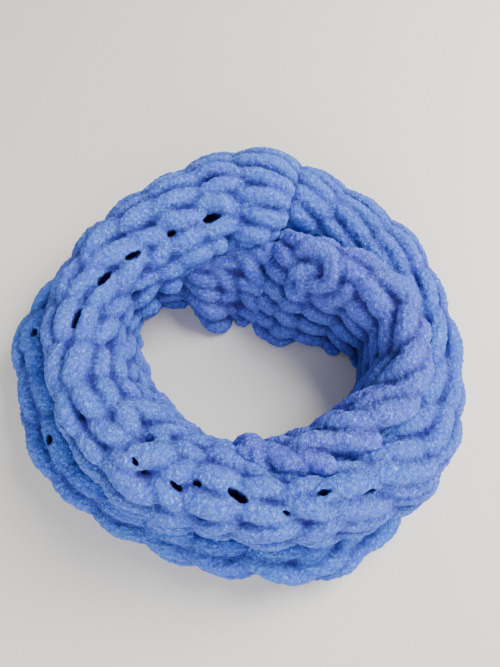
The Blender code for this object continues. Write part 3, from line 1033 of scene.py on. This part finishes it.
@dataclass
class KnittedFabric:
    """All the layers of the one knitted ring that show. Sizes are in millimetres.

    The pile's real curls, under 1 mm, are drawn at `curl` in the mesh so that they show.
    """

    layers: tuple[KnittedLayer, ...]
    cell: float = 1.15
    pile: float = 0.75
    curl: float = 3.4
    margin: float = 8.0
    slit_depth: float = 22.0

    def open_slit(self, grid: YarnField, layer: KnittedLayer, slit: Slit) -> None:
        """Opens one gap between two strands, along the run of the wales.

        Args:
            grid: The layer's yarn.
            layer: The layer.
            slit: The gap.
        """
        turn = slit.angle + np.array([-2.0, 2.0, 0.0, 0.0])
        drift = layer.shift(turn) - layer.shift(np.full(4, slit.angle))
        reach = slit.reach + drift + np.array([0.0, 0.0, 0.0, 3.0])
        place = layer.surface.at(turn, reach, np.full(4, -3.0))
        along = place[1] - place[0]
        along /= np.linalg.norm(along)
        across = place[3] - place[2]
        across -= along * (across @ along)
        across /= np.linalg.norm(across)
        slant = math.radians(slit.slant)
        lengthwise = along * math.cos(slant) + across * math.sin(slant)
        crosswise = across * math.cos(slant) - along * math.sin(slant)
        axes = np.stack([lengthwise, crosswise, np.cross(along, across)])
        grid.carve(place[2], axes, (slit.long, slit.wide, self.slit_depth))

    def knitted(self, layer: KnittedLayer) -> tuple[np.ndarray, np.ndarray, np.ndarray]:
        """Knits one layer and draws its surface.

        Args:
            layer: The layer to knit.

        Returns:
            The vertices in millimetres, the four-sided faces, and how deep in a crease each vertex lies.
        """
        yarn = YarnBalls.gathered([layer.knit(), layer.backing()])
        low = yarn.centres.min(axis=0) - self.margin
        low[2] = max(low[2], -2.0)
        grid = YarnField(low, yarn.centres.max(axis=0) + self.margin, self.cell)
        grid.add(yarn)
        grid.soften()
        for slit in layer.slits:
            self.open_slit(grid, layer, slit)
        grid.rest_on_table(REST_HEIGHT)
        points, quads = main_shells(*grid.net())
        depth = grid.cavity(points)
        rough = self.pile * (0.5 - 1.6 * np.abs(pile_noise(points, self.curl, layer.seed)))
        rough += 0.6 * self.pile * pile_noise(points, 0.6 * self.curl, layer.seed + 1)
        points = points + quad_normals(points, quads) * rough[:, None]
        points[:, 2] = np.maximum(points[:, 2], LOWEST_PILE)
        return points, quads, depth

    def build_layer(self, layer: KnittedLayer, finish: ChenilleFinish) -> None:
        """Knits one layer and makes its closed pieces.

        Args:
            layer: The layer to knit.
            finish: What it is dressed in.
        """
        points, quads, depth = self.knitted(layer)
        stretches = parted(points, quads, layer.cuts)
        area = layer.flat_area()
        width = (float(np.mean(layer.surface.lengths)) + layer.over_reach + ROLLED_EDGES) * MM
        material = finish.material()
        whole = sum(len(own) for _, own, _ in stretches)
        for number, (used, own, rim) in enumerate(stretches):
            name = layer.name if len(stretches) == 1 else f"{layer.name}_{number + 1}"
            obj = make_mesh(name, points[used], own, rim, depth[used])
            obj.data.materials.append(material)
            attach(obj, "root")
            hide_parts(*layer.replaces)
            share = area * len(own) / whole
            share = share * (1 + ROLLED_EDGES * MM / width)
            LOG.info("%s: %d faces, flat area %.4f m2", name, 2 * len(own), share)


@dataclass
class Studio:
    """A plain pale table, soft light and the camera above the front of the ring."""

    camera_place: tuple[float, float, float] = (0.01117, -0.13728, 0.37263)
    camera_tilt: float = 23.0
    camera_lens: float = 28.066

    def build(self) -> None:
        """Makes the table, the lights and the camera."""
        self.table()
        self.lights()
        self.camera()

    def table(self) -> None:
        """Lays the table's top at the height the garment rests on."""
        data = bpy.data.meshes.new("table")
        half = 3.0
        corners = [(-half, -half, 0), (half, -half, 0), (half, half, 0), (-half, half, 0)]
        data.from_pydata(corners, [], [(0, 1, 2, 3)])
        obj = placed("table", data)
        # Matt laminate in a warm off-white: an even, slightly soft sheet of light under the yarn.
        material = bpy.data.materials.new("pale_table_top")
        material.use_nodes = True
        shader = material.node_tree.nodes["Principled BSDF"]
        shader.inputs["Base Color"].default_value = linear("#E6DFD2")
        shader.inputs["Roughness"].default_value = 0.6
        data.materials.append(material)

    def lights(self) -> None:
        """Hangs a large soft window light at the right and behind, and a weak fill."""
        self.area_light("window", (0.75, 0.35, 0.90), 0.7, 30.0, "#FFFFFF")
        self.area_light("fill", (0.0, -1.2, 0.65), 1.1, 22.0, "#F2F5FF")
        world = bpy.data.worlds.new("room")
        world.use_nodes = True
        world.node_tree.nodes["Background"].inputs["Color"].default_value = linear("#EEF1F8")
        world.node_tree.nodes["Background"].inputs["Strength"].default_value = 0.55
        bpy.context.scene.world = world

    def area_light(
        self, name: str, place: tuple[float, float, float], size: float, power: float, colour: str
    ) -> None:
        """Adds a square area light that faces the garment.

        Args:
            name: The light's name.
            place: Where it hangs, in metres.
            size: Its side in metres.
            power: Its power in watts.
            colour: Its colour.
        """
        data = bpy.data.lights.new(name, "AREA")
        data.size = size
        data.energy = power
        data.color = linear(colour)[:3]
        obj = placed(name, data)
        obj.location = place
        obj.rotation_mode = "QUATERNION"
        obj.rotation_quaternion = (Vector((0, 0, 0.04)) - Vector(place)).to_track_quat("-Z", "Y")

    def camera(self) -> None:
        """Sets up the camera at the photograph's angle."""
        data = bpy.data.cameras.new("camera")
        data.sensor_width = 36.0
        data.lens = self.camera_lens
        obj = placed("camera", data)
        obj.location = self.camera_place
        obj.rotation_euler = (math.radians(self.camera_tilt), 0, 0)
        bpy.context.scene.camera = obj


UPPER = KnittedLayer(
    name="upper_fabric",
    folds=UPPER_FOLDS,
    first_angle=15.4,
    last_angle=374.6,
    seed=11,
    replaces=("upper_layer",),
    slot="upper_yarn",
    drift=(
        (15, -34), (60, -34), (90, -30), (108, -20), (122, -8), (138, 0), (200, 0), (265, 0),
        (280, 7), (298, 19), (312, 31), (330, 57), (348, 87), (362, 100), (375, 104),
    ),
    under=((15, 9), (122, 9), (130, 0), (325, 0), (340, 9), (375, 9)),
    edge_dip=((15, 4), (60, 6), (95, 5), (115, 1), (130, 0), (375, 0)),
    liveliness=((15, 0.8), (110, 0.75), (140, 1.0), (300, 1.0), (340, 0.8), (375, 0.7)),
    slits=(
        Slit(280, 46, 7.0, 2.4), Slit(298, 58, 6.8, 2.5), Slit(312, 70, 6.4, 2.4), Slit(330, 96, 3.6, 1.9),
        Slit(348, 126, 6.6, 2.8), Slit(218, 40, 3.4, 1.5, 25), Slit(202, 38, 4.6, 1.6, 28),
        Slit(180, 40, 6.6, 2.5, 24), Slit(152, 44, 4.2, 1.6), Slit(140, 44, 5.4, 1.3, -12),
        Slit(195, 42, 3.2, 1.3, 25), Slit(165, 34, 2.8, 1.1, 20),
    ),
    cuts=(15.0, 115.0, 205.0, 285.0),
)

INNER_BACK = KnittedLayer(
    name="inner_back_fabric",
    folds=INNER_FOLDS,
    first_angle=-60.0,
    last_angle=14.6,
    seed=23,
    replaces=("inner_fold_back",),
    slot="inner_yarn",
    from_inner_edge=True,
    drift=((-60, 40), (-30, 24), (0, 0), (15, -14)),
    wale_width=28.0,
    under=((-60, 8), (15, 8)),
    over_reach=4.0,
)

INNER_RIGHT = KnittedLayer(
    name="inner_right_fabric",
    folds=INNER_FOLDS,
    first_angle=15.4,
    last_angle=182.0,
    seed=37,
    replaces=("inner_fold_right",),
    slot="inner_yarn",
    from_inner_edge=True,
    drift=((15, 0), (50, 0), (70, -8), (85, -24), (100, -42), (120, -64), (140, -84), (182, -116)),
    spread=((15, 1.0), (60, 1.05), (80, 1.28), (110, 1.36), (140, 1.3), (182, 1.15)),
    edge_dip=((15, 2), (100, 2), (130, -1), (182, 0)),
    liveliness=((15, 0.9), (60, 0.75), (182, 0.8)),
    over_reach=6.0,
    curls=(
        Curl(((28, 70), (34, 78), (42, 80), (48, 74), (50, 65), (46, 59), (41, 62)), 2.5),
        Curl(((31, 56), (36, 62), (40, 54), (38, 47), (33, 48)), 2.0),
        Curl(((50, 46), (55, 52), (59, 60), (58, 70)), 1.0),
    ),
    wale_width=28.0,
    under=((15, 8), (182, 8)),
)

LOWER = KnittedLayer(
    name="lower_fabric",
    folds=LOWER_FOLDS,
    first_angle=132.0,
    last_angle=331.0,
    seed=53,
    replaces=("lower_layer",),
    slot="lower_yarn",
    drift=((130, -8), (332, -8)),
    under=((132, 4), (331, 4)),
    slits=(Slit(248, 36, 4.5, 2.6), Slit(280, 36, 4.5, 2.2)),
    hold=Hold.LAID,
)


def main() -> None:
    """Builds the garment and the studio."""
    logging.basicConfig(level=logging.INFO, format="%(message)s")
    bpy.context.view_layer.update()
    fabric = KnittedFabric((UPPER, INNER_BACK, INNER_RIGHT, LOWER))
    finishes = {
        "upper_yarn": PERIWINKLE_CHENILLE,
        "inner_yarn": BOUNCE_LIT_CHENILLE,
        "lower_yarn": SHADED_CHENILLE,
    }
    for layer in fabric.layers:
        fabric.build_layer(layer, finishes[layer.slot])
    HiddenLayers().build(SHADED_CHENILLE)
    Studio().build()


if __name__ == "__main__":
    main()
